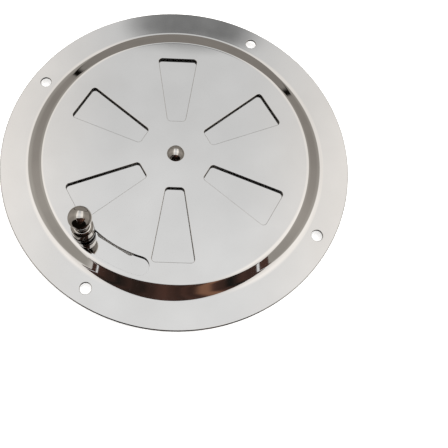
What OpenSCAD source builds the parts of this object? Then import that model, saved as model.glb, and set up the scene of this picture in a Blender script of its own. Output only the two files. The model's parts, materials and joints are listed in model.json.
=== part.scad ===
// Round butterfly vent: a pressed stainless cover with a slotted shutter that turns behind it.
// Origin: centre of the flange's back face. +Z points out of the front of the vent.

/* [Sheet] */
// Thickness of the cover and of the shutter
sheet_t = 0.8; // [0.6:0.1:1.0]
// Gap between the cover and the shutter, filled at the pivot by a washer
shutter_gap = 0.5; // [0.3:0.1:0.8]

/* [Cover] */
// Outside diameter of the flange
flange_d = 127; // [124:1:140]
// Diameter where the pressed step leaves the flange
step_outer_d = 106; // [104:1:108]
// Diameter where the pressed step reaches the raised face
step_inner_d = 97.4; // [96.8:0.2:99]
// Height of the raised face above the flange
step_h = 1.6; // [1.4:0.1:2.2]
// Fillet radius at the foot of the step
foot_r = 8; // [2:0.5:10]
// Fillet radius at the shoulder of the step, on the front
shoulder_r = 5; // [1.5:0.5:5]

/* [Screw holes] */
// Diameter of the circle through the screw holes
screw_circle_d = 116; // [113:0.5:118]
// Diameter of each screw hole
screw_hole_d = 4; // [3:0.1:5]
// Number of screw holes
screw_count = 4; // [3:1:8]

/* [Vent openings] */
// Number of openings in the cover, and in the shutter
vent_count = 6; // [4:1:6]
// Distance from the pivot to the inner edge of an opening
vent_inner_x = 13.4; // [12.5:0.1:16]
// Distance from the pivot to the outer edge of an opening
vent_outer_x = 40.8; // [36:0.1:41]
// Width of an opening at its inner edge
vent_inner_w = 6.5; // [5:0.1:6.5]
// Width of an opening at its outer edge
vent_outer_w = 15.1; // [12:0.1:15.5]
// Corner radius of an opening
vent_corner_r = 1.3; // [0.5:0.1:2]

/* [Slot and travel] */
// Radius of the knob's path about the pivot
slot_r = 43.85; // [43.6:0.05:44.2]
// Width of the curved slot
slot_w = 6.7; // [6.4:0.1:7]
// Turn of the shutter from closed to open
turn_angle = 30; // [20:1:30]
// Direction of the slot's middle, seen from the front
slot_middle = 270; // [270]

/* [Shutter] */
// Diameter of the shutter
shutter_d = 97; // [96:0.5:98]

/* [Pivot] */
// Diameter of the rivet's shank
rivet_d = 3.5; // [3:0.1:4]
// Diameter of the rivet's round head
rivet_head_d = 6.4; // [6:0.1:8]
// Height of the rivet's round head
rivet_head_h = 2.6; // [1.5:0.1:3]
// Diameter of the formed tail
rivet_tail_d = 5.8; // [5:0.1:6.5]
// Height of the formed tail
rivet_tail_h = 1.2; // [0.8:0.1:1.6]
// Outside diameter of the nylon spacer
spacer_d = 10; // [8:0.5:14]
// Outside diameter of the spring washer and the back washer
pivot_washer_d = 8; // [7:0.5:10]
// Thickness of the back washer
pivot_washer_t = 0.8; // [0.5:0.1:1.2]
// Material thickness of the spring washer
spring_t = 0.3; // [0.2:0.05:0.4]
// Height of the spring washer's cone
spring_cone_h = 0.4; // [0.2:0.05:0.6]

/* [Knob] */
// Diameter of the ball
ball_d = 8; // [7:0.1:10]
// Height of the ball's top above the flange's back face
ball_top_z = 20.3; // [19:0.1:24]
// Diameter of the neck under the ball
neck_d = 4; // [3:0.1:4.6]
// Diameter of the barrel
barrel_d = 7.8; // [7.4:0.1:8.4]
// Height of the barrel between its groove and its shoulder
barrel_h = 3.2; // [2.5:0.1:4]
// Height of the rounded shoulder above the barrel
crown_h = 1.4; // [1:0.1:2]
// Diameter of the flat on top of the shoulder
crown_d = 5.2; // [4.8:0.1:5.6]
// Diameter of the groove under the barrel
groove_d = 7.1; // [6.6:0.1:7.2]
// Height of the groove
groove_h = 0.75; // [0.5:0.05:1]
// Diameter of the spigot that runs in the slot
spigot_d = 6.2; // [5.8:0.1:6.3]
// Outside diameter of the collar that slides on the face
collar_d = 8; // [7.4:0.1:8.2]
// Height of the collar
collar_h = 1.4; // [1:0.1:1.8]
// Clearance between the collar and the face
collar_lift = 0.05; // [0.02:0.01:0.2]

/* [Knob screw] */
// Nominal diameter of the screw
screw_d = 4; // [3:0.5:4]
// Length of the screw under its head
screw_l = 8; // [6:0.5:8]
// Diameter of the pan head
head_d = 8; // [6:0.5:8]
// Height of the pan head
head_h = 3.1; // [2.4:0.1:3.4]
// Outside diameter of the flat washer
flat_washer_d = 8; // [7:0.5:8]
// Thickness of the flat washer
flat_washer_t = 0.5; // [0.4:0.1:0.8]
// Outside diameter of the split lock washer
lock_washer_d = 7.2; // [6:0.1:7.6]
// Thickness of the split lock washer
lock_washer_t = 0.9; // [0.6:0.1:1]

/* [Hidden] */
$fn = 96;

steel = [0.80, 0.80, 0.79];
bright_steel = [0.70, 0.69, 0.67];
nylon = [0.93, 0.92, 0.87];

through = 1;            // how far a cutter runs past the face that it cuts
running_gap = 0.05;     // radial clearance of a hole that turns or slides on a shaft
thread_gap = 0.05;      // radial clearance left between the screw and its tapped hole
hole_gap = 0.1;         // radial clearance of a plain hole round the screw
arc_steps = 6;          // straight steps in each small fillet

// Levels along Z
face_z = sheet_t + step_h;
cover_back_z = step_h;
shutter_top_z = cover_back_z - shutter_gap;
shutter_back_z = shutter_top_z - sheet_t;
spring_h = spring_t + spring_cone_h;
back_washer_z = shutter_back_z - spring_h - pivot_washer_t;
collar_z = face_z + collar_lift;
barrel_z = collar_z + collar_h + groove_h;
crown_z = barrel_z + barrel_h;
neck_z = crown_z + crown_h;
ball_z = ball_top_z - ball_d / 2;
flat_washer_z = shutter_back_z - flat_washer_t;
head_z = flat_washer_z - lock_washer_t;

// Directions
knob_closed = slot_middle - turn_angle / 2;
vent_pitch = 360 / vent_count;

// The step's slope, from the sharp corners that its fillets round off
step_slope = atan(step_h / ((step_outer_d - step_inner_d) / 2));
foot_centre = [step_outer_d / 2 + foot_r * tan(step_slope / 2), sheet_t + foot_r];
shoulder_centre = [step_inner_d / 2 - shoulder_r * tan(step_slope / 2), face_z - shoulder_r];

// Points of an arc about c, from a0 to a1 degrees
function arc(c, r, a0, a1, steps = arc_steps) =
    [for (i = [0:steps]) c + r * [cos(a0 + (a1 - a0) * i / steps), sin(a0 + (a1 - a0) * i / steps)]];

// Radius of the ball whose cap has this base diameter and height
function cap_ball_r(d, h) = (d * d / 4 + h * h) / (2 * h);

// ---- Shapes used by more than one piece ----

// Outline of one vent opening along +X: a rounded trapezoid
vent_flare = atan((vent_outer_w - vent_inner_w) / 2 / (vent_outer_x - vent_inner_x));

function vent_corner(x) = [
    x,
    vent_inner_w / 2 + (sin(vent_flare) * (x - vent_inner_x) - vent_corner_r) / cos(vent_flare)
];

module vent_outline() {
    outer = vent_corner(vent_outer_x - vent_corner_r);
    inner = vent_corner(vent_inner_x + vent_corner_r);
    side = 90 + vent_flare;
    polygon(concat(
        arc([outer.x, -outer.y], vent_corner_r, -side, 0),
        arc(outer, vent_corner_r, 0, side),
        arc(inner, vent_corner_r, side, 180),
        arc([inner.x, -inner.y], vent_corner_r, 180, 360 - side)
    ));
}

// Cutters for the ring of vent openings, the first at angle start
module vent_cutters(z, start) {
    for (i = [0:vent_count - 1])
        rotate([0, 0, start + i * vent_pitch])
            translate([0, 0, z - through])
                linear_extrude(sheet_t + 2 * through)
                    vent_outline();
}

// Places its children on the knob's axis, with the shutter closed
module at_knob() {
    rotate([0, 0, knob_closed])
        translate([slot_r, 0, 0])
            children();
}

module washer(d, hole_d, t) {
    difference() {
        cylinder(d = d, h = t);
        translate([0, 0, -through])
            cylinder(d = hole_d, h = t + 2 * through);
    }
}

// A round cap of a ball, standing on z = 0
module cap(d, h) {
    ball_r = cap_ball_r(d, h);
    intersection() {
        translate([0, 0, h - ball_r])
            sphere(r = ball_r);
        cylinder(d = d + through, h = h + through);
    }
}

// ---- Cover ----

module cover_sheet() {
    front = 270 - step_slope;
    crest = 90 - step_slope;
    rotate_extrude()
        polygon(concat(
            [[flange_d / 2, 0], [flange_d / 2, sheet_t]],
            arc(foot_centre, foot_r, 270, front),
            arc(shoulder_centre, shoulder_r, crest, 90),
            [[0, face_z], [0, cover_back_z]],
            arc(shoulder_centre, shoulder_r - sheet_t, 90, crest),
            arc(foot_centre, foot_r + sheet_t, front, 270)
        ));
}

module slot_cutter() {
    height = sheet_t + 2 * through;
    translate([0, 0, cover_back_z - through]) {
        rotate([0, 0, knob_closed])
            rotate_extrude(angle = turn_angle)
                translate([slot_r - slot_w / 2, 0])
                    square([slot_w, height]);
        for (end = [0, 1])
            rotate([0, 0, knob_closed + end * turn_angle])
                translate([slot_r, 0, 0])
                    cylinder(d = slot_w, h = height);
    }
}

module cover_plate() {
    color(steel)
        difference() {
            cover_sheet();
            vent_cutters(cover_back_z, 0);
            slot_cutter();
            translate([0, 0, cover_back_z - through])
                cylinder(d = rivet_d, h = sheet_t + 2 * through);
            for (i = [0:screw_count - 1])
                rotate([0, 0, i * 360 / screw_count])
                    translate([screw_circle_d / 2, 0, -through])
                        cylinder(d = screw_hole_d, h = sheet_t + 2 * through);
        }
}

// ---- Shutter ----

module shutter_plate() {
    color(steel)
        difference() {
            translate([0, 0, shutter_back_z])
                cylinder(d = shutter_d, h = sheet_t);
            vent_cutters(shutter_back_z, vent_pitch / 2);
            translate([0, 0, shutter_back_z - through])
                cylinder(d = rivet_d + 2 * running_gap, h = sheet_t + 2 * through);
            at_knob()
                translate([0, 0, shutter_back_z - through])
                    cylinder(d = screw_d + 2 * hole_gap, h = sheet_t + 2 * through);
        }
}

// ---- Pivot ----

module pivot_rivet() {
    color(bright_steel) {
        translate([0, 0, face_z])
            cap(rivet_head_d, rivet_head_h);
        translate([0, 0, back_washer_z])
            cylinder(d = rivet_d, h = face_z - back_washer_z);
        // The tail is upset over the back washer, with a broken edge
        translate([0, 0, back_washer_z])
            rotate_extrude()
                polygon([
                    [0, 0], [rivet_tail_d / 2, 0], [rivet_tail_d / 2, -rivet_tail_h * 0.6],
                    [rivet_tail_d * 0.4, -rivet_tail_h], [0, -rivet_tail_h]
                ]);
    }
}

module pivot_spacer() {
    color(nylon)
        translate([0, 0, shutter_top_z])
            washer(spacer_d, rivet_d + 2 * running_gap, shutter_gap);
}

// A conical spring washer: its rim presses on the shutter, its hole sits on the back washer
module pivot_spring_washer() {
    hole_r = rivet_d / 2 + hole_gap;
    rim_r = pivot_washer_d / 2;
    color(bright_steel)
        translate([0, 0, shutter_back_z - spring_h])
            rotate_extrude()
                polygon([
                    [hole_r, 0], [rim_r, spring_cone_h], [rim_r, spring_h], [hole_r, spring_t]
                ]);
}

module pivot_back_washer() {
    color(steel)
        translate([0, 0, back_washer_z])
            washer(pivot_washer_d, rivet_d + 2 * running_gap, pivot_washer_t);
}

// ---- Knob ----

// Half section of the turned knob, from the spigot's foot to the neck
module knob_profile() {
    bevel = 0.25;
    barrel_r = barrel_d / 2;
    crown_r = crown_d / 2;
    polygon(concat(
        [
            [0, shutter_top_z], [spigot_d / 2, shutter_top_z],
            [spigot_d / 2, collar_z + collar_h], [groove_d / 2, collar_z + collar_h],
            [groove_d / 2, barrel_z], [barrel_r - bevel, barrel_z],
            [barrel_r, barrel_z + bevel]
        ],
        [
            for (i = [0:arc_steps])
                [
                    crown_r + (barrel_r - crown_r) * cos(90 * i / arc_steps),
                    crown_z + crown_h * sin(90 * i / arc_steps)
                ]
        ],
        [[neck_d / 2, neck_z], [neck_d / 2, ball_z], [0, ball_z]]
    ));
}

module knob() {
    hole_depth = head_z + screw_l + screw_d * 0.2 - shutter_top_z;
    color(bright_steel)
        at_knob()
            difference() {
                union() {
                    rotate_extrude()
                        knob_profile();
                    translate([0, 0, ball_z])
                        sphere(d = ball_d);
                }
                translate([0, 0, shutter_top_z - through])
                    cylinder(d = screw_d, h = hole_depth + through);
            }
}

module knob_collar() {
    chamfer = 0.3;
    collar_r = collar_d / 2;
    bore_r = spigot_d / 2 + running_gap;
    color(bright_steel)
        at_knob()
            translate([0, 0, collar_z])
                rotate_extrude()
                    polygon([
                        [bore_r, 0], [collar_r, 0], [collar_r, collar_h - chamfer],
                        [collar_r - chamfer, collar_h], [bore_r, collar_h]
                    ]);
}

// ---- Knob screw, from behind ----

// Threaded shank: rings at the thread's pitch, on a core
module threaded_shank(d, l) {
    pitch = 0.7;
    crest_r = d / 2 - thread_gap;
    root_r = crest_r - 0.35;
    turns = floor(l / pitch) - 1;
    rotate_extrude()
        polygon(concat(
            [[0, 0], [crest_r, 0]],
            [
                for (i = [0:turns - 1], step = [0, 1])
                    [step == 0 ? crest_r : root_r, (i + 0.5 + step / 2) * pitch]
            ],
            [[root_r, l], [0, l]]
        ));
}

// Cross recess, opening towards -Z from z = 0
module cross_recess(d, depth) {
    blade = d * 0.24;
    intersection() {
        translate([0, 0, -through])
            cylinder(d1 = d * 1.2, d2 = d * 0.3, h = depth + through);
        union() {
            cube([d, blade, 4 * depth], center = true);
            cube([blade, d, 4 * depth], center = true);
        }
    }
}

module knob_screw() {
    color(bright_steel)
        at_knob() {
            translate([0, 0, head_z])
                threaded_shank(screw_d, screw_l);
            translate([0, 0, head_z])
                mirror([0, 0, 1])
                    difference() {
                        pan_head();
                        translate([0, 0, head_h])
                            mirror([0, 0, 1])
                                cross_recess(head_d * 0.55, head_h * 0.65);
                    }
        }
}

// A cylinder under a domed top, standing on z = 0
module pan_head() {
    dome_h = head_h * 0.48;
    ball_r = cap_ball_r(head_d, dome_h);
    intersection() {
        cylinder(d = head_d, h = head_h);
        translate([0, 0, head_h - ball_r])
            sphere(r = ball_r);
    }
}

module knob_flat_washer() {
    color(steel)
        at_knob()
            translate([0, 0, flat_washer_z])
                washer(flat_washer_d, screw_d + 2 * hole_gap, flat_washer_t);
}

// Split ring: its gap is at the side away from the pivot
module knob_lock_washer() {
    gap_angle = 14;
    hole_r = screw_d / 2 + hole_gap;
    color(bright_steel)
        at_knob()
            translate([0, 0, head_z])
                rotate([0, 0, gap_angle / 2])
                    rotate_extrude(angle = 360 - gap_angle)
                        translate([hole_r, 0])
                            square([lock_washer_d / 2 - hole_r, lock_washer_t]);
}

cover_plate();
shutter_plate();
pivot_rivet();
pivot_spacer();
pivot_spring_washer();
pivot_back_washer();
knob();
knob_collar();
knob_screw();
knob_flat_washer();
knob_lock_washer();
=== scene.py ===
"""Looks for the round butterfly vent: polished stainless sheet, turned knob and rivet, small hardware.

All sizes in the tables below are millimetres; meshes are written in metres, in the frame's own axes.
"""
import json
import math

import bpy
import numpy as np
from mathutils import Matrix, Vector
from mathutils.geometry import delaunay_2d_cdt


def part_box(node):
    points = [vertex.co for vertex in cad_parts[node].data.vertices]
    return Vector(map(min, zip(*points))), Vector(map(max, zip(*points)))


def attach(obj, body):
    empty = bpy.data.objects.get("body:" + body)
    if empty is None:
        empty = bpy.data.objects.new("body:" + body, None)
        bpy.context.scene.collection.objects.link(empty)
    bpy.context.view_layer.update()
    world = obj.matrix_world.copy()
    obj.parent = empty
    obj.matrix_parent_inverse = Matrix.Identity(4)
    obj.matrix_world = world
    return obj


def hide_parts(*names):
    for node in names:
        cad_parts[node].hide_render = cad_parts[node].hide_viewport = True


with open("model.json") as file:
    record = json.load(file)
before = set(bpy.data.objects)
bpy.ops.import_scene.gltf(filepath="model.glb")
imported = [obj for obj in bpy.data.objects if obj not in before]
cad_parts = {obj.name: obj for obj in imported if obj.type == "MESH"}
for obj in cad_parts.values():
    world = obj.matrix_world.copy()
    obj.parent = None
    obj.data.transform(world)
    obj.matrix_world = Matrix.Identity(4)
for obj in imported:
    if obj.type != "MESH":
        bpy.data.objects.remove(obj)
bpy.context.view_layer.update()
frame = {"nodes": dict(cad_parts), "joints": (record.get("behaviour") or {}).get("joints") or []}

MM = 0.001
TAU = 2 * math.pi


# ---- Sizes from the frame ----

def box_mm(node):
    lo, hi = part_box(node)
    return lo / MM, hi / MM


cover_lo, cover_hi = box_mm("cover_plate")
shutter_lo, shutter_hi = box_mm("shutter_plate")
rivet_lo, rivet_hi = box_mm("pivot_rivet")
spacer_lo, spacer_hi = box_mm("pivot_spacer")
spring_lo, spring_hi = box_mm("pivot_spring_washer")
back_lo, back_hi = box_mm("pivot_back_washer")
knob_lo, knob_hi = box_mm("knob")
collar_lo, collar_hi = box_mm("knob_collar")
screw_lo, screw_hi = box_mm("knob_screw")
flat_lo, flat_hi = box_mm("knob_flat_washer")

FLANGE_R = cover_hi.x
FACE_Z = cover_hi.z
SHEET_T = shutter_hi.z - shutter_lo.z
SHUTTER_R = (shutter_hi.x - shutter_lo.x) / 2
KNOB_AT = Vector(((knob_lo.x + knob_hi.x) / 2, (knob_lo.y + knob_hi.y) / 2, 0))
SLOT_R = KNOB_AT.length
KNOB_ANGLE = math.atan2(KNOB_AT.y, KNOB_AT.x)
TRAVEL = math.radians(frame["joints"][0]["range_deg"][1])

# Sizes that the boxes don't give, as the CAD source has them
STEP_OUTER_R = 53.0
STEP_INNER_R = 48.7
FOOT_R = 8.0
SHOULDER_R = 5.0
SCREW_CIRCLE_R = 58.0
SCREW_HOLE_R = 2.0
SCREW_COUNT = 4
VENT_COUNT = 6
VENT_X = (13.4, 40.8)
VENT_W = (6.5, 15.1)
VENT_CORNER = 1.3
SLOT_W = 6.7
RIVET_R = 1.75
SCREW_BORE_R = 2.1

ROUND = 720       # steps round a large circle
SMALL_ROUND = 96  # steps round a small part or hole


# ---- Mesh building: outlines, sweeps and flat faces with a true normal at each corner ----

def unit(v):
    return v / max(np.linalg.norm(v), 1e-12)


def arc_run(centre, radius, start, end, steps, hollow=False):
    """Points of an arc with their outward normals; angles in radians."""
    run = []
    for i in range(steps + 1):
        a = start + (end - start) * i / steps
        n = np.array([math.cos(a), math.sin(a)])
        run.append((np.array(centre) + radius * n, -n if hollow else n))
    return run


def outline(corners, closed=False, step=math.radians(9)):
    """Runs of (point, normal) along a polyline with the material on its left.
    A corner is (a, b, fillet radius)."""
    pts = [np.array(c[:2], float) for c in corners]
    radii = [c[2] if len(c) > 2 else 0.0 for c in corners]
    n = len(pts)
    cut = []
    for i in range(n):
        p, r = pts[i], radii[i]
        if r <= 0 or (not closed and i in (0, n - 1)):
            cut.append((p, p, None))
            continue
        d1, d2 = unit(p - pts[i - 1]), unit(pts[(i + 1) % n] - p)
        cross = d1[0] * d2[1] - d1[1] * d2[0]
        turn = math.atan2(cross, float(d1 @ d2))
        t = r * math.tan(abs(turn) / 2)
        side = 1.0 if cross > 0 else -1.0
        left = np.array([-d1[1], d1[0]])
        centre = p - d1 * t + side * left * r
        a0 = math.atan2(*(p - d1 * t - centre)[::-1])
        steps = max(2, round(abs(turn) / step))
        cut.append((p - d1 * t, p + d2 * t, arc_run(centre, r, a0, a0 + turn, steps, hollow=side < 0)))
    runs = []
    for i in range(n):
        if cut[i][2]:
            runs.append(cut[i][2])
        if i == n - 1 and not closed:
            break
        a, b = cut[i][1], cut[(i + 1) % n][0]
        d = b - a
        if np.linalg.norm(d) > 1e-7:
            d = unit(d)
            normal = np.array([d[1], -d[0]])
            runs.append([(a, normal), (b, normal)])
    return runs


def loop_of(runs, spacing):
    """One closed ring of (point, normal) from an outline's runs, with long straight runs divided."""
    ring = []
    for run in runs:
        for (a, na), (b, nb) in zip(run, run[1:]):
            steps = max(1, int(np.linalg.norm(b - a) / spacing))
            for k in range(steps):
                f = k / steps
                ring.append((a + (b - a) * f, unit(na + (nb - na) * f)))
    return ring


def circle(centre, radius, count, hole=True, start=0.0):
    """A ring round a hole (clockwise, normals inward) or round a disc (anticlockwise, normals outward)."""
    ring = []
    for i in range(count):
        a = start + (-1 if hole else 1) * TAU * i / count
        n = np.array([math.cos(a), math.sin(a)])
        ring.append((np.array(centre[:2], float) + radius * n, -n if hole else n))
    return ring


def turned(ring, angle):
    c, s = math.cos(angle), math.sin(angle)
    m = np.array([[c, -s], [s, c]])
    return [(m @ p, m @ n) for p, n in ring]


def offset(ring, by):
    return [(p + n * by, n) for p, n in ring]


class Skin:
    """Collects faces with a normal at each corner and a material number, then welds them into one mesh."""

    def __init__(self):
        self.faces, self.kinds = [], []

    def face(self, corners, kind=0):
        self.faces.append(corners)
        self.kinds.append(kind)

    def lathe(self, runs, count, kind=0, start=0.0, sweep=TAU, rise=0.0):
        """Turns (radius, height) runs about Z. rise lifts the end of the sweep, for a split ring."""
        whole = abs(sweep - TAU) < 1e-9 and rise == 0
        dirs = []
        for j in range(count + 1):
            a = start + sweep * (j % count if whole else j) / count
            dirs.append((math.cos(a), math.sin(a), rise * j / count))

        def corner(entry, d):
            (r, z), (nr, nz) = entry
            return (r * d[0], r * d[1], z + d[2]), (nr * d[0], nr * d[1], nz)

        for run in runs:
            for p, q in zip(run, run[1:]):
                for j in range(count):
                    d, e = dirs[j], dirs[j + 1]
                    self.face([corner(p, d), corner(p, e), corner(q, e), corner(q, d)], kind)

    def sweep(self, ring, runs, kind=0):
        """Carries (outward, height) runs round a closed ring."""
        n = len(ring)

        def corner(entry, at):
            (s, z), (ns, nz) = entry
            (x, y), (mx, my) = at
            return (x + mx * s, y + my * s, z), (mx * ns, my * ns, nz)

        for run in runs:
            for p, q in zip(run, run[1:]):
                for i in range(n):
                    a, b = ring[i], ring[(i + 1) % n]
                    self.face([corner(p, a), corner(p, b), corner(q, b), corner(q, a)], kind)

    def flat(self, rings, z, up=True, kind=0):
        """A flat face between rings: the outermost first, then its holes."""
        co, inputs = [], []
        for k, ring in enumerate(rings):
            ids = list(range(len(co), len(co) + len(ring)))
            inputs.append(ids[::-1] if k else ids)
            co += [Vector(p) for p, _ in ring]
        verts, _, faces, _, _, within = delaunay_2d_cdt(co, [], inputs, 1, 1e-7)
        faces = [f for f, owners in zip(faces, within) if set(owners) == {0}]
        normal = (0, 0, 1 if up else -1)
        for f in faces:
            p = [verts[i] for i in f]
            area = sum(a.x * b.y - a.y * b.x for a, b in zip(p, p[1:] + p[:1]))
            if (area > 0) != up:
                p = p[::-1]
            self.face([((v.x, v.y, z), normal) for v in p], kind)

    def build(self, name, materials, at=(0, 0, 0)):
        index, verts, polys, kinds, normals = {}, [], [], [], []
        for corners, kind in zip(self.faces, self.kinds):
            ids, ns = [], []
            for p, n in corners:
                key = tuple(round(c * 2e4) for c in p)
                if key not in index:
                    index[key] = len(verts)
                    verts.append([c * MM for c in p])
                i = index[key]
                if i not in ids:
                    ids.append(i)
                    ns.append(n)
            if len(ids) > 2:
                polys.append(ids)
                kinds.append(kind)
                normals += ns
        mesh = bpy.data.meshes.new(name)
        mesh.from_pydata(verts, [], polys)
        mesh.polygons.foreach_set("use_smooth", [True] * len(polys))
        mesh.polygons.foreach_set("material_index", kinds)
        mesh.normals_split_custom_set([Vector(n).normalized() for n in normals])
        for m in materials:
            mesh.materials.append(m)
        obj = bpy.data.objects.new(name, mesh)
        bpy.context.scene.collection.objects.link(obj)
        obj.location = Vector(at) * MM
        return obj


def place(obj, body, node):
    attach(obj, body)
    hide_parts(node)
    return obj


# ---- Shader graphs ----

class Graph:
    """Short calls for the nodes this script uses."""

    def __init__(self, tree):
        self.tree = tree
        tree.nodes.clear()

    def node(self, kind, inputs=(), **settings):
        n = self.tree.nodes.new(kind)
        for k, v in settings.items():
            setattr(n, k, v)
        for k, v in dict(inputs).items():
            self.put(n.inputs[k], v)
        return n

    def put(self, socket, value):
        if isinstance(value, bpy.types.NodeSocket):
            self.tree.links.new(value, socket)
        else:
            socket.default_value = value

    def math(self, op, a, b=0.0, c=0.0):
        n = self.node("ShaderNodeMath", {0: a, 1: b, 2: c}, operation=op)
        return n.outputs[0]

    def step(self, x, low, high, a=0.0, b=1.0):
        """Smooth change of x from a at low to b at high."""
        return self.span(x, low, high, a, b, "SMOOTHSTEP")

    def span(self, x, low, high, a, b, kind="LINEAR"):
        """Straight change of x from a at low to b at high."""
        values = {"Value": x, "From Min": low, "From Max": high, "To Min": a, "To Max": b}
        n = self.node("ShaderNodeMapRange", values, interpolation_type=kind)
        return n.outputs["Result"]

    def mix(self, f, a, b, blend="MIX"):
        n = self.node("ShaderNodeMix", data_type="RGBA", blend_type=blend)
        for socket, v in zip((n.inputs["Factor"], n.inputs[6], n.inputs[7]), (f, a, b)):
            self.put(socket, v)
        return n.outputs[2]

    def noise(self, vector, scale, detail=2.0, rough=0.5, warp=0.0):
        n = self.node("ShaderNodeTexNoise", {"Vector": vector, "Scale": scale, "Detail": detail,
                                             "Roughness": rough, "Distortion": warp})
        return n.outputs["Fac"]

    def stretch(self, vector, scale, turn=0.0):
        n = self.node("ShaderNodeMapping", {"Vector": vector, "Scale": scale, "Rotation": (0, 0, turn)})
        return n.outputs["Vector"]

    def bump(self, height, distance, normal=None):
        n = self.node("ShaderNodeBump", {"Height": height, "Distance": distance, "Strength": 1.0})
        if normal is not None:
            self.put(n.inputs["Normal"], normal)
        return n.outputs["Normal"]


def material(name):
    m = bpy.data.materials.new(name)
    m.use_nodes = True
    g = Graph(m.node_tree)
    shader = g.node("ShaderNodeBsdfPrincipled")
    g.tree.links.new(shader.outputs[0], g.node("ShaderNodeOutputMaterial").inputs[0])
    where = g.node("ShaderNodeTexCoord").outputs["Object"]
    return m, g, shader.inputs, where


def polished_sheet(name, dark, light, grain_turn=0.0):
    """Mirror-polished stainless sheet: slow waves of the press, fine buffing lines, a faint bloom."""
    m, g, s, where = material(name)
    bloom = g.noise(where, 38, 3, 0.55)
    s["Metallic"].default_value = 1.0
    g.put(s["Base Color"], g.mix(g.span(bloom, 0.3, 0.7, 0, 1), dark, light))
    buff = g.noise(g.stretch(where, (90, 5200, 90), grain_turn), 1.0, 2, 0.6)
    patch = g.noise(where, 120, 4, 0.6)
    rough = g.math("MULTIPLY_ADD", buff, 0.03, g.span(patch, 0.35, 0.75, 0.012, 0.035))
    g.put(s["Roughness"], rough)
    wave = g.noise(where, 34, 1.5, 0.4)
    n = g.bump(wave, 0.00009)
    g.put(s["Normal"], g.bump(buff, 0.0000004, n))
    return m


def sheared_edge_painted_dark(name):
    """Punched edge with fine lines along the punch's stroke; its near-black colour is painted shade standing
    in for the dark walls and gaps of the cuts.
    """
    m, g, s, where = material(name)
    lines = g.noise(g.stretch(where, (2600, 2600, 160)), 1.0, 3, 0.6)
    # Painted shade: near-black base colour with little sheen, so the cut walls and rims read as shadowed.
    g.put(s["Base Color"], g.mix(lines, (0.010, 0.0096, 0.009, 1), (0.028, 0.027, 0.025, 1)))
    g.put(s["Roughness"], g.span(lines, 0.3, 0.7, 0.45, 0.65))
    s["Specular IOR Level"].default_value = 0.08
    g.put(s["Normal"], g.bump(lines, 0.000002))
    return m


def mill_back(name):
    """The unpolished side of the sheet: cold-rolled grain."""
    m, g, s, where = material(name)
    grain = g.noise(g.stretch(where, (110, 3400, 110)), 1.0, 3, 0.65)
    cloud = g.noise(where, 60, 3, 0.5)
    s["Metallic"].default_value = 1.0
    g.put(s["Base Color"], g.mix(cloud, (0.52, 0.52, 0.51, 1), (0.60, 0.60, 0.59, 1)))
    g.put(s["Roughness"], g.span(grain, 0.3, 0.7, 0.2, 0.32))
    g.put(s["Normal"], g.bump(grain, 0.0000015))
    return m


def turned_steel(name, dark, light, rough, ridge):
    """Steel turned on a lathe: rings about the part's own axis, then polished."""
    m, g, s, where = material(name)
    parts = g.node("ShaderNodeSeparateXYZ", {"Vector": where}).outputs
    radius = g.math("SQRT", g.math("ADD", g.math("MULTIPLY", parts["X"], parts["X"]),
                                   g.math("MULTIPLY", parts["Y"], parts["Y"])))
    rings = g.node("ShaderNodeCombineXYZ", {"X": radius, "Z": parts["Z"]}).outputs[0]
    lines = g.noise(g.stretch(rings, (5200, 1, 5200)), 1.0, 2, 0.55)
    cloud = g.noise(where, 300, 3, 0.55)
    s["Metallic"].default_value = 1.0
    g.put(s["Base Color"], g.mix(g.span(cloud, 0.3, 0.7, 0, 1), dark, light))
    base = g.span(cloud, 0.3, 0.75, rough * 0.5, rough)
    g.put(s["Roughness"], g.math("MULTIPLY_ADD", lines, rough * 0.5, base))
    g.put(s["Normal"], g.bump(lines, ridge))
    return m


def moulded_nylon(name):
    """Natural nylon: warm white, slightly clouded, a fine matt skin."""
    m, g, s, where = material(name)
    cloud = g.noise(where, 240, 3, 0.6)
    skin = g.noise(where, 5200, 3, 0.6)
    g.put(s["Base Color"], g.mix(cloud, (0.78, 0.76, 0.68, 1), (0.88, 0.87, 0.80, 1)))
    g.put(s["Roughness"], g.span(skin, 0.3, 0.7, 0.38, 0.55))
    s["Subsurface Weight"].default_value = 0.15
    s["Subsurface Radius"].default_value = (0.001, 0.0009, 0.0007)
    s["IOR"].default_value = 1.53
    g.put(s["Normal"], g.bump(skin, 0.00001))
    return m


SHEET = polished_sheet("polished_stainless", (0.665, 0.662, 0.655, 1), (0.70, 0.698, 0.692, 1))
BLADE = polished_sheet("polished_shutter", (0.66, 0.658, 0.652, 1), (0.695, 0.693, 0.688, 1),
                       math.radians(40))
# Cut walls and rims of sheet and shutter get this painted-shade edge.
EDGE_PAINTED_SHADE = sheared_edge_painted_dark("sheared_edge_painted_dark")
BACK = mill_back("rolled_back")
CHROME = turned_steel("turned_bright", (0.62, 0.605, 0.58, 1), (0.68, 0.665, 0.64, 1), 0.025, 0.0000003)
# Painted shade: a darkened copy of the knob's turned steel, standing in for the dark surroundings the lower
# knob and collar reflect.
BARREL_PAINTED_SHADE = turned_steel("turned_painted_shade", (0.13, 0.127, 0.123, 1), (0.19, 0.185, 0.18, 1), 0.08, 0.0000006)
RIVET_STEEL = turned_steel("rivet_bright", (0.66, 0.65, 0.63, 1), (0.72, 0.71, 0.69, 1), 0.03, 0.0000004)
PLAIN = turned_steel("plain_steel", (0.46, 0.455, 0.44, 1), (0.58, 0.575, 0.56, 1), 0.32, 0.000003)
SPRING = turned_steel("spring_steel", (0.36, 0.35, 0.335, 1), (0.46, 0.45, 0.43, 1), 0.3, 0.000003)
NYLON = moulded_nylon("natural_nylon")


# ---- Cover ----

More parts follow.
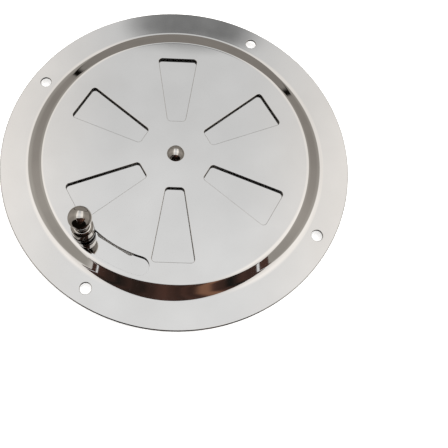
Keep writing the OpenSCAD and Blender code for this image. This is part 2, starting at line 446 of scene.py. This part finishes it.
def vent_ring(angle):
    """Outline of one opening: a rounded trapezoid, widest at the rim."""
    (x0, x1), (w0, w1) = VENT_X, VENT_W
    c = VENT_CORNER
    corners = [(x0, -w0 / 2, c), (x0, w0 / 2, c), (x1, w1 / 2, c), (x1, -w1 / 2, c)]
    return turned(loop_of(outline(corners, closed=True), 1.0), angle)


def slot_ring(width):
    """Outline of the curved slot."""
    half = width / 2
    a0, a1 = KNOB_ANGLE, KNOB_ANGLE + TRAVEL
    ring = []
    steps = 120
    for i in range(steps):
        a = a1 + (a0 - a1) * i / steps
        n = np.array([math.cos(a), math.sin(a)])
        ring.append((n * (SLOT_R + half), -n))
    ends = 28
    start = np.array([math.cos(a0), math.sin(a0)]) * SLOT_R
    for i in range(ends):
        a = a0 - math.pi * i / ends
        n = np.array([math.cos(a), math.sin(a)])
        ring.append((start + n * half, -n))
    for i in range(steps):
        a = a0 + (a1 - a0) * i / steps
        n = np.array([math.cos(a), math.sin(a)])
        ring.append((n * (SLOT_R - half), n))
    end = np.array([math.cos(a1), math.sin(a1)]) * SLOT_R
    for i in range(ends):
        a = a1 + math.pi - math.pi * i / ends
        n = np.array([math.cos(a), math.sin(a)])
        ring.append((end + n * half, -n))
    return ring


def edge_runs(low, high, front, back):
    """A sheet's cut edge from its lower face to its upper one, rolled over at the front."""
    return outline([(-9, low), (0, low, back), (0, high, front), (-9, high)])[1:-1]


def cut_edge(skin, ring, low, high, front, back):
    """Wall and rolled-over rims of one cut; returns its rings on the upper and lower faces."""
    runs = edge_runs(low, high, front, back)
    skin.sweep(ring, runs[:1], 0)
    skin.sweep(ring, runs[1:2], 1)
    skin.sweep(ring, runs[2:], 0)
    return offset(ring, -front), offset(ring, -back)


def cover_sheet():
    skin = Skin()
    rise = FACE_Z - SHEET_T
    slope = math.atan2(rise, STEP_OUTER_R - STEP_INNER_R)
    foot_c = (STEP_OUTER_R + FOOT_R * math.tan(slope / 2), SHEET_T + FOOT_R)
    shoulder_c = (STEP_INNER_R - SHOULDER_R * math.tan(slope / 2), FACE_Z - SHOULDER_R)
    quarter = math.pi / 2
    front = [
        arc_run(foot_c, FOOT_R, -quarter, -quarter - slope, 16, hollow=True),
        None,
        arc_run(shoulder_c, SHOULDER_R, quarter - slope, quarter, 16),
    ]
    back = [
        arc_run(shoulder_c, SHOULDER_R - SHEET_T, quarter, quarter - slope, 10, hollow=True),
        None,
        arc_run(foot_c, FOOT_R + SHEET_T, -quarter - slope, -quarter, 10),
    ]
    for runs in (front, back):
        a, b = runs[0][-1], runs[2][0]
        runs[1] = [a, b]
    skin.lathe(front, ROUND, 0)
    skin.lathe(back, ROUND, 2)

    # Raised face with its openings, slot and rivet hole
    holes = [vent_ring(TAU * i / VENT_COUNT) for i in range(VENT_COUNT)]
    cuts = [cut_edge(skin, ring, rise, FACE_Z, 0.22, 0.05) for ring in holes]
    cuts.append(cut_edge(skin, slot_ring(SLOT_W), rise, FACE_Z, 0.04, 0.04))
    cuts.append(cut_edge(skin, circle((0, 0), RIVET_R, SMALL_ROUND), rise, FACE_Z, 0.05, 0.05))
    rim = circle((0, 0), shoulder_c[0], ROUND, hole=False)
    skin.flat([rim] + [c[0] for c in cuts], FACE_Z)
    skin.flat([rim] + [c[1] for c in cuts], rise, up=False, kind=2)

    # Flange with its screw holes
    cuts = []
    for i in range(SCREW_COUNT):
        a = TAU * i / SCREW_COUNT
        at = (SCREW_CIRCLE_R * math.cos(a), SCREW_CIRCLE_R * math.sin(a))
        cuts.append(cut_edge(skin, circle(at, SCREW_HOLE_R, SMALL_ROUND), 0, SHEET_T, 0.2, 0.05))
    outer = circle((0, 0), FLANGE_R, ROUND, hole=False)
    top, bottom = cut_edge(skin, outer, 0, SHEET_T, 0.3, 0.06)
    inner = circle((0, 0), foot_c[0], ROUND)
    skin.flat([top, inner] + [c[0] for c in cuts], SHEET_T)
    skin.flat([bottom, inner] + [c[1] for c in cuts], 0, up=False, kind=2)
    return skin.build("cover_sheet", [SHEET, EDGE_PAINTED_SHADE, BACK])


place(cover_sheet(), "cover", "cover_plate")


# ---- Shutter ----

def shutter_blade():
    skin = Skin()
    low, high = shutter_lo.z, shutter_hi.z
    holes = [vent_ring(TAU * (i + 0.5) / VENT_COUNT) for i in range(VENT_COUNT)]
    holes.append(circle((0, 0), RIVET_R + 0.05, SMALL_ROUND))
    holes.append(circle(KNOB_AT, SCREW_BORE_R, SMALL_ROUND))
    cuts = [cut_edge(skin, ring, low, high, 0.1, 0.05) for ring in holes]
    top, bottom = cut_edge(skin, circle((0, 0), SHUTTER_R, ROUND, hole=False), low, high, 0.1, 0.05)
    skin.flat([top] + [c[0] for c in cuts], high)
    skin.flat([bottom] + [c[1] for c in cuts], low, up=False, kind=2)
    return skin.build("shutter_blade", [BLADE, EDGE_PAINTED_SHADE, BACK])


place(shutter_blade(), "shutter", "shutter_plate")


# ---- Pivot ----

def cap_run(radius, height, base, steps=28):
    """Half section of a ball's cap standing on base, from its rim to its top."""
    ball = (radius ** 2 + height ** 2) / (2 * height)
    start = math.asin((height - ball) / ball)
    return arc_run((0, base + height - ball), ball, start, math.pi / 2, steps)


def rivet():
    skin = Skin()
    head_r = (rivet_hi.x - rivet_lo.x) / 2
    tail_top, tail_end = back_lo.z, rivet_lo.z
    tail_r = 2.9
    dome = cap_run(head_r, rivet_hi.z - FACE_Z, FACE_Z)
    runs = outline([
        (0, tail_end), (tail_r * 0.8, tail_end, 0.3), (tail_r, tail_end + 0.55, 0.25), (tail_r, tail_top),
        (RIVET_R, tail_top), (RIVET_R, FACE_Z), (head_r, FACE_Z),
    ])
    skin.lathe(runs + [dome], SMALL_ROUND)
    return skin.build("rivet", [RIVET_STEEL])


def ring_part(name, inner, outer, low, high, edge, steel, at=(0, 0, 0)):
    """A flat washer with small rounded edges."""
    skin = Skin()
    corners = [(inner, low, edge), (outer, low, edge), (outer, high, edge), (inner, high, edge)]
    skin.lathe(outline(corners, closed=True),
               SMALL_ROUND)
    return skin.build(name, [steel], at)


def spring_washer():
    skin = Skin()
    inner, outer = 1.85, (spring_hi.x - spring_lo.x) / 2
    low, cone, t = spring_lo.z, 0.4, 0.3
    skin.lathe(outline([(inner, low, 0.05), (outer, low + cone, 0.05), (outer, low + cone + t, 0.05),
                        (inner, low + t, 0.05)], closed=True), SMALL_ROUND)
    return skin.build("spring_washer", [SPRING])


place(rivet(), "cover", "pivot_rivet")
place(ring_part("nylon_spacer", 1.8, (spacer_hi.x - spacer_lo.x) / 2, spacer_lo.z, spacer_hi.z, 0.08, NYLON),
      "cover", "pivot_spacer")
place(spring_washer(), "cover", "pivot_spring_washer")
place(ring_part("back_washer", 1.8, (back_hi.x - back_lo.x) / 2, back_lo.z, back_hi.z, 0.12, PLAIN),
      "cover", "pivot_back_washer")


# ---- Knob ----

def knob_turning():
    skin = Skin()
    ball_r, neck_r, barrel_r, crown_r, groove_r, spigot_r, tap_r = 4.0, 2.0, 3.9, 2.6, 3.55, 3.1, 2.0
    foot, top = knob_lo.z, knob_hi.z
    groove_z = collar_hi.z
    barrel_z = groove_z + 0.75
    crown_z = barrel_z + 3.2
    neck_z = barrel_z + 4.6
    ball_z = top - ball_r
    roof = 6.6
    start = -math.acos(neck_r / ball_r)
    runs = outline([
        (0, roof), (tap_r, roof), (tap_r, foot, 0.15), (spigot_r, foot, 0.15), (spigot_r, groove_z),
        (groove_r, groove_z, 0.08), (groove_r, barrel_z, 0.08), (barrel_r, barrel_z, 0.25),
        (barrel_r, neck_z, barrel_r - crown_r), (neck_r, neck_z, 0.3),
        (neck_r, ball_z + ball_r * math.sin(start)),
    ])
    ball = arc_run((0, ball_z), ball_r, start, math.pi / 2, 64)
    turned_low = [run for run in runs if max(p[1] for p, _ in run) < crown_z + 1e-6]
    turned_high = [run for run in runs if max(p[1] for p, _ in run) >= crown_z + 1e-6]
    # The lower turning gets the darkened copy of the steel: painted shade.
    skin.lathe(turned_low, 160, 1)
    skin.lathe(turned_high + [ball], 160)
    return skin.build("knob_turning", [CHROME, BARREL_PAINTED_SHADE], KNOB_AT)


def collar_turning():
    skin = Skin()
    outer, inner = (collar_hi.x - collar_lo.x) / 2, 3.15
    low, high, bevel = collar_lo.z, collar_hi.z, 0.3
    skin.lathe(outline([
        (inner, low, 0.05), (outer, low, 0.1), (outer, high - bevel, 0.06), (outer - bevel, high, 0.06),
        (inner, high, 0.05),
    ], closed=True), 160)
    # The collar also gets the darkened copy of the steel: painted shade.
    return skin.build("collar_turning", [BARREL_PAINTED_SHADE], KNOB_AT)


place(knob_turning(), "shutter", "knob")
place(collar_turning(), "shutter", "knob_collar")
place(ring_part("flat_washer", 2.1, (flat_hi.x - flat_lo.x) / 2, flat_lo.z, flat_hi.z, 0.08, PLAIN, KNOB_AT),
      "shutter", "knob_flat_washer")

for name, steel in (("knob_screw", PLAIN), ("knob_lock_washer", SPRING)):
    slots = frame["nodes"][name].data.materials
    for i in range(len(slots)):
        slots[i] = steel


# ---- Camera ----

VIEW_TURN = math.radians(26.5)   # direction of view about Z
LENS = 52.87
LENS_SHIFT = (0.1116, -0.1317)
TILT, ROLL = math.radians(24.45), math.radians(5.26)
CAMERA_SPOT = Vector((-0.555, -3.567, 240.936))   # along the camera's own axes


def build_camera():
    data = bpy.data.cameras.new("camera")
    data.sensor_width = 36.0
    data.lens = LENS
    data.shift_x, data.shift_y = LENS_SHIFT
    data.clip_start, data.clip_end = 0.01, 20.0
    cam = bpy.data.objects.new("camera", data)
    bpy.context.scene.collection.objects.link(cam)
    turn = (Matrix.Rotation(VIEW_TURN, 3, "Z") @ Matrix.Rotation(TILT, 3, "X")
            @ Matrix.Rotation(ROLL, 3, "Z"))
    spot = turn @ CAMERA_SPOT + Vector((0, 0, SHEET_T))
    cam.matrix_world = Matrix.Translation(spot * MM) @ turn.to_4x4()
    bpy.context.scene.camera = cam


build_camera()


# ---- Studio: a white tent with a dark opening low on one side, and a pale floor ----

TENT_TURN = VIEW_TURN   # the tent's opening is on the camera's side

# Light of the studio's surfaces
PANEL = (0.85, 0.85, 0.85, 1)
PANEL_RIM = (1.1, 1.05, 1.0, 1)
SIDE_LIT = (0.45, 0.42, 0.38, 1)
SIDE = (0.33, 0.30, 0.27, 1)
FAR_WALL = (0.24, 0.22, 0.20, 1)
GAP = (0.12, 0.12, 0.12, 1)
DEEP = (0.005, 0.004, 0.003, 1)
BROWN = (0.08, 0.035, 0.025, 1)
AMBER = (0.25, 0.12, 0.07, 1)


def build_world():
    world = bpy.data.worlds.new("studio")
    bpy.context.scene.world = world
    world.use_nodes = True
    g = Graph(world.node_tree)
    look = g.node("ShaderNodeTexCoord").outputs["Generated"]
    look = g.node("ShaderNodeVectorRotate", {"Vector": look, "Angle": -TENT_TURN},
                  rotation_type="Z_AXIS").outputs[0]
    x, y, z = g.node("ShaderNodeSeparateXYZ", {"Vector": look}).outputs
    side = g.math("DEGREES", g.math("ARCTAN2", x, z))
    along = g.math("DEGREES", g.math("ARCSINE", y))
    spread = g.math("ABSOLUTE", side)

    # Ceiling panel between two side walls, brighter at its long edges
    panel = g.math("MULTIPLY", g.step(side, -30, -25), g.step(side, 32, 36, 1, 0))
    roof = g.mix(panel, g.mix(g.step(spread, 30, 60), SIDE_LIT, SIDE),
                 g.mix(g.step(spread, 5, 20), PANEL, PANEL_RIM))
    far = g.mix(g.noise(look, 6, 3, 0.6), FAR_WALL, SIDE)

    # The roof is brighter towards the opening; one dark gap stands at the middle of its far end
    fall = g.math("MULTIPLY", g.step(along, 10, 35, 1.15, 0.95), g.step(along, -10, 5, 0.8, 1.0))
    fall = g.node("ShaderNodeCombineColor", {0: fall, 1: fall, 2: fall}).outputs[0]
    roof = g.mix(1.0, roof, fall, "MULTIPLY")
    gap = g.math("MULTIPLY", g.step(side, -8, -3), g.step(side, 4, 10, 1, 0))
    gap = g.math("MULTIPLY", gap, g.step(along, 34, 36))
    gap = g.math("MULTIPLY", gap, g.step(along, 38, 44, 1, 0))
    cloud = g.span(g.noise(look, 14, 3, 0.6), 0.3, 0.7, 0.7, 1.0)
    roof = g.mix(g.math("MULTIPLY", gap, cloud), roof, GAP)

    # Seam between the side walls and the far wall
    wall = g.mix(g.step(along, 49, 51), roof, far)
    seam = g.math("MULTIPLY", g.step(spread, 45, 50), g.step(along, 50, 51))
    seam = g.math("MULTIPLY", seam, g.step(along, 52, 54, 1, 0))
    wall = g.mix(seam, wall, DEEP)

    # Dark opening on the camera's side, lower than the awning
    light = g.mix(g.step(along, -36, -30, 1, 0), wall, DEEP)

    wobble = g.span(g.noise(look, 9, 3, 0.6), 0.3, 0.7, 0.96, 1.04)
    wobble = g.node("ShaderNodeCombineColor", {0: wobble, 1: wobble, 2: wobble}).outputs[0]
    light = g.mix(1.0, light, wobble, "MULTIPLY")

    direct = g.node("ShaderNodeLightPath").outputs["Is Camera Ray"]
    shown = g.node("ShaderNodeBackground", {"Color": g.mix(direct, light, (1, 1, 1, 1)), "Strength": 1.0})
    g.tree.links.new(shown.outputs[0], g.node("ShaderNodeOutputWorld").inputs[0])


def build_awning():
    """Dark strip that hangs over the camera's side of the part. Only reflections show it."""
    m, g, s, where = material("awning")
    x, y, _ = g.node("ShaderNodeSeparateXYZ", {"Vector": where}).outputs
    left, right, reach, height = -65, 95, -400, 80
    across = g.math("DIVIDE", x, MM)
    folds = g.span(g.noise(g.stretch(where, (1, 0.05, 1)), 40, 2, 0.5), 0.35, 0.65, 0, 1)
    tone = g.mix(folds, DEEP, BROWN)
    patch = g.math("MULTIPLY", g.step(across, 25, 35), g.step(across, 38, 45, 1, 0))
    tone = g.mix(patch, tone, AMBER)
    for edge, width in ((-60, 1), (85, 1.5)):
        off = g.math("ABSOLUTE", g.math("SUBTRACT", across, edge))
        tone = g.mix(g.step(off, width * 0.6, width, 1, 0), tone, PANEL)
    s["Base Color"].default_value = (0, 0, 0, 1)
    g.put(s["Emission Color"], tone)
    g.put(s["Emission Strength"], g.step(y, -0.13, -0.1, 0.15, 1.0))
    verts, faces, count = [], [], 80
    for i in range(count + 1):
        x = left + (right - left) * i / count
        lip = -60 + 8 * math.exp(-(x / 25) ** 2) + 8 * math.exp(-((x - right) / 25) ** 2)
        verts += [(x * MM, lip * MM, 0), (x * MM, reach * MM, 0)]
        if i:
            faces.append((2 * i - 2, 2 * i - 1, 2 * i + 1, 2 * i))
    mesh = bpy.data.meshes.new("awning")
    mesh.from_pydata(verts, [], faces)
    mesh.materials.append(m)
    awning = bpy.data.objects.new("awning", mesh)
    bpy.context.scene.collection.objects.link(awning)
    awning.location.z = height * MM
    awning.rotation_euler.z = TENT_TURN
    awning.visible_camera = awning.visible_diffuse = awning.visible_shadow = False


def build_floor():
    m, g, s, where = material("pale_floor")
    speck = g.noise(where, 900, 3, 0.6)
    g.put(s["Base Color"], g.mix(speck, (0.90, 0.90, 0.895, 1), (0.93, 0.93, 0.925, 1)))
    s["Roughness"].default_value = 0.9
    s["Specular IOR Level"].default_value = 0.1
    s["Emission Color"].default_value = (1, 1, 1, 1)
    x, y, _ = g.node("ShaderNodeSeparateXYZ", {"Vector": where}).outputs
    radius = g.math("SQRT", g.math("ADD", g.math("MULTIPLY", x, x), g.math("MULTIPLY", y, y)))
    # Painted shadow: the floor's glow fades to nothing in a disc under the part, so the floor beneath reads
    # as in shade.
    g.put(s["Emission Strength"], g.step(radius, SHUTTER_R * 0.94 * MM, SHUTTER_R * 1.08 * MM, 0, 0.62))
    half, low = 3.0, screw_lo.z * MM - 0.0001
    mesh = bpy.data.meshes.new("floor")
    corners = [(-half, -half, low), (half, -half, low), (half, half, low), (-half, half, low)]
    mesh.from_pydata(corners, [], [(0, 1, 2, 3)])
    mesh.materials.append(m)
    floor = bpy.data.objects.new("floor", mesh)
    bpy.context.scene.collection.objects.link(floor)
    floor.visible_glossy = False


def build_lamp(name, at, size, energy):
    """A soft square lamp over the part, aimed at its middle."""
    data = bpy.data.lights.new(name, "AREA")
    data.size, data.energy = size, energy
    lamp = bpy.data.objects.new(name, data)
    bpy.context.scene.collection.objects.link(lamp)
    lamp.location = at
    lamp.rotation_mode = "QUATERNION"
    lamp.rotation_quaternion = (-Vector(at)).to_track_quat("-Z", "Y")
    lamp.visible_glossy = False
    lamp.visible_camera = False


build_world()
build_awning()
build_floor()
build_lamp("overhead", (0.1, 0.1, 0.9), 0.9, 9)

view = bpy.context.scene.view_settings
view.view_transform = "Standard"
view.look = "None"
view.exposure = 0.0
view.gamma = 1.0

bpy.context.view_layer.update()
